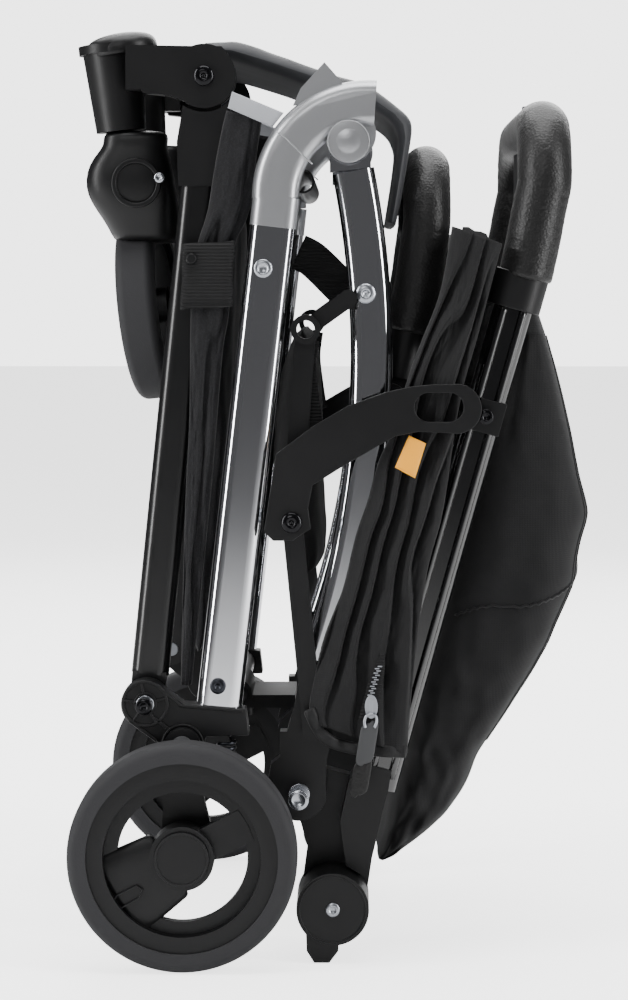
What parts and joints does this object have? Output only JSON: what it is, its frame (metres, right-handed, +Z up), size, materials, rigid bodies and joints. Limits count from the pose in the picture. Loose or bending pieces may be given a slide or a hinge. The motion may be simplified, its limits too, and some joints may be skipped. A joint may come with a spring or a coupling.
{
  "type": "baby stroller",
  "caption": "Compact folding stroller, standing folded, with zig-zag frame, castered front wheels, sprung rear wheels, canopy, bumper bar and U handle.",
  "frame": {"origin": "on the ground, at the middle of the folded stroller's bounding box", "axes": "+Z up as it stands folded, -X towards the front wheels' side, -Y the stroller's left side"},
  "size_m": [0.347, 0.44, 0.6084],
  "materials": {
    "chrome_tube": "polished",
    "cast_silver": "satin, painted silver",
    "black_moulding": "fine moulded grain",
    "black_tube": "gloss black powder coat",
    "wheel_plastic": "satin moulded",
    "tyre_foam": "matt foam rubber",
    "steel_pin": "plated",
    "spring_steel": "black oxide",
    "leatherette": "grained black leatherette",
    "black_fabric": "matt woven polyester",
    "basket_cloth": "dark melange cloth",
    "grey_fabric": "grey coated cloth",
    "grey_rubber": "soft pull tab",
    "silver_button": "plated plastic",
    "gloss_black": "gloss moulded"
  },
  "bodies": {
    "rear_frame": {"rear_leg_left": "chrome_tube", "rear_leg_right": "chrome_tube", "elbow_left": "cast_silver", "elbow_right": "cast_silver", "rear_bracket_left": "black_moulding", "rear_bracket_right": "black_moulding", "frame_cross_tubes": "black_tube", "frame_pins": "steel_pin", "suspension_springs": "spring_steel", "calf_rest": "grey_fabric"},
    "brake": {"brake_pedal": "black_moulding"},
    "suspension_left": {"swing_arm_left": "black_moulding"},
    "suspension_right": {"swing_arm_right": "black_moulding"},
    "rear_wheel_left": {"rear_rim_left": "wheel_plastic", "rear_tyre_left": "tyre_foam", "rear_hub_cap_left": "wheel_plastic"},
    "rear_wheel_right": {"rear_rim_right": "wheel_plastic", "rear_tyre_right": "tyre_foam", "rear_hub_cap_right": "wheel_plastic"},
    "front_legs": {"front_leg_left": "black_tube", "front_leg_right": "black_tube", "front_leg_sleeves": "black_moulding", "footrest_tube": "black_tube", "arm_pins": "steel_pin", "basket": "basket_cloth", "basket_straps": "leatherette"},
    "front_arms": {"front_arm_left": "black_moulding", "front_arm_right": "black_moulding", "front_axle_tube": "black_tube"},
    "caster_left": {"caster_fork_left": "black_moulding"},
    "caster_right": {"caster_fork_right": "black_moulding"},
    "front_wheel_left": {"front_rim_left": "wheel_plastic", "front_tyre_left": "tyre_foam"},
    "front_wheel_right": {"front_rim_right": "wheel_plastic", "front_tyre_right": "tyre_foam"},
    "seat_frame": {"seat_tube_left": "chrome_tube", "seat_tube_right": "chrome_tube", "seat_tube_tops": "cast_silver", "seat_tube_ends": "black_moulding", "seat_pins": "steel_pin", "seat_rails": "black_moulding", "seat_cross_tube": "black_tube", "seat_fabric": "black_fabric", "seat_edge": "grey_fabric"},
    "bumper": {"bumper_bar": "leatherette", "bumper_ends": "black_moulding"},
    "lock_arm_left_body": {"lock_arm_left": "black_moulding"},
    "lock_arm_right_body": {"lock_arm_right": "black_moulding"},
    "handle_frame": {"handle_bracket_left": "black_moulding", "handle_bracket_right": "black_moulding", "handle_tube_left": "black_tube", "handle_tube_right": "black_tube", "handle_collars": "black_moulding", "handle_clamps": "black_moulding", "handle_grip": "leatherette", "canopy": "black_fabric", "backrest": "black_fabric"},
    "trigger": {"fold_trigger": "gloss_black"},
    "button": {"fold_button": "silver_button"},
    "zip_tab": {"zip_pull": "grey_rubber"}
  },
  "joints": [
    {"name": "seat_fold", "type": "hinge", "parent": "rear_frame", "child": "seat_frame", "pos_m": [0.0103, 0, 0.5447], "axis": [0, -1, 0], "range_deg": [0, 81]},
    {"name": "handle_fold", "type": "hinge", "parent": "seat_frame", "child": "handle_frame", "pos_m": [-0.0232, 0, 0.1082], "axis": [0, 1, 0], "range_deg": [0, 172]},
    {"name": "front_leg_fold", "type": "hinge", "parent": "rear_frame", "child": "front_legs", "pos_m": [-0.1245, 0, 0.1705], "axis": [0, -1, 0], "range_deg": [0, 25]},
    {"name": "front_arm_fold", "type": "hinge", "parent": "front_legs", "child": "front_arms", "pos_m": [-0.0856, 0, 0.5828], "axis": [0, 1, 0], "range_deg": [0, 91]},
    {"name": "bumper_fold", "type": "hinge", "parent": "seat_frame", "child": "bumper", "pos_m": [0.036, 0, 0.368], "axis": [0, 1, 0], "range_deg": [0, 40.5]},
    {"name": "brake_press", "type": "hinge", "parent": "rear_frame", "child": "brake", "pos_m": [-0.07, 0, 0.159], "axis": [0, 1, 0], "range_deg": [0, 20]},
    {"name": "trigger_pull", "type": "slide", "parent": "handle_frame", "child": "trigger", "axis": [0, 0, 1], "range_m": [0, 0.004], "stiffness_N_per_m": 400, "springref_m": -0.002},
    {"name": "button_press", "type": "slide", "parent": "handle_frame", "child": "button", "axis": [0, 0, -1], "range_m": [0, 0.003], "stiffness_N_per_m": 300, "springref_m": -0.001},
    {"name": "zip_pull_swing", "type": "hinge", "parent": "handle_frame", "child": "zip_tab", "pos_m": [0.0245, -0.178, 0.16], "axis": [0, 1, 0], "range_deg": [-60, 60]},
    {"name": "suspension_left_swing", "type": "hinge", "parent": "rear_frame", "child": "suspension_left", "pos_m": [-0.0995, -0.18, 0.144], "axis": [0, -1, 0], "range_deg": [0, 5], "stiffness_Nm_per_rad": 40, "springref_deg": -4.58, "deforming": ["suspension_springs"]},
    {"name": "rear_wheel_left_spin", "type": "hinge", "parent": "suspension_left", "child": "rear_wheel_left", "pos_m": [-0.0985, -0.205, 0.075], "axis": [0, 1, 0], "continuous": true},
    {"name": "caster_left_swivel", "type": "hinge", "parent": "front_arms", "child": "caster_left", "pos_m": [-0.1485, -0.12, 0.606], "axis": [-0.1045, 0, 0.9945], "range_deg": [-10, 168]},
    {"name": "front_wheel_left_spin", "type": "hinge", "parent": "caster_left", "child": "front_wheel_left", "pos_m": [-0.12574, -0.07823, 0.43142], "axis": [-0.9891, 0.1045, -0.104], "continuous": true},
    {"name": "lock_arm_left_lift", "type": "hinge", "parent": "seat_frame", "child": "lock_arm_left_body", "pos_m": [-0.0278, -0.179, 0.291], "axis": [0, -1, 0], "range_deg": [0, 35]},
    {"name": "suspension_right_swing", "type": "hinge", "parent": "rear_frame", "child": "suspension_right", "pos_m": [-0.0995, 0.18, 0.144], "axis": [0, -1, 0], "range_deg": [0, 5], "stiffness_Nm_per_rad": 40, "springref_deg": -4.58, "deforming": ["suspension_springs"]},
    {"name": "rear_wheel_right_spin", "type": "hinge", "parent": "suspension_right", "child": "rear_wheel_right", "pos_m": [-0.0985, 0.205, 0.075], "axis": [0, 1, 0], "continuous": true},
    {"name": "caster_right_swivel", "type": "hinge", "parent": "front_arms", "child": "caster_right", "pos_m": [-0.1485, 0.12, 0.606], "axis": [-0.1045, 0, 0.9945], "range_deg": [-168, 10]},
    {"name": "front_wheel_right_spin", "type": "hinge", "parent": "caster_right", "child": "front_wheel_right", "pos_m": [-0.12574, 0.07823, 0.43142], "axis": [-0.9891, -0.1045, -0.104], "continuous": true},
    {"name": "lock_arm_right_lift", "type": "hinge", "parent": "seat_frame", "child": "lock_arm_right_body", "pos_m": [-0.0278, 0.179, 0.291], "axis": [0, -1, 0], "range_deg": [0, 35]}
  ],
  "couplings": [
    {"joint": "handle_fold", "follows": "seat_fold", "ratio": 2.1234},
    {"joint": "front_leg_fold", "follows": "seat_fold", "ratio": 0.3086},
    {"joint": "front_arm_fold", "follows": "seat_fold", "ratio": 1.1234},
    {"joint": "bumper_fold", "follows": "seat_fold", "ratio": 0.5}
  ]
}
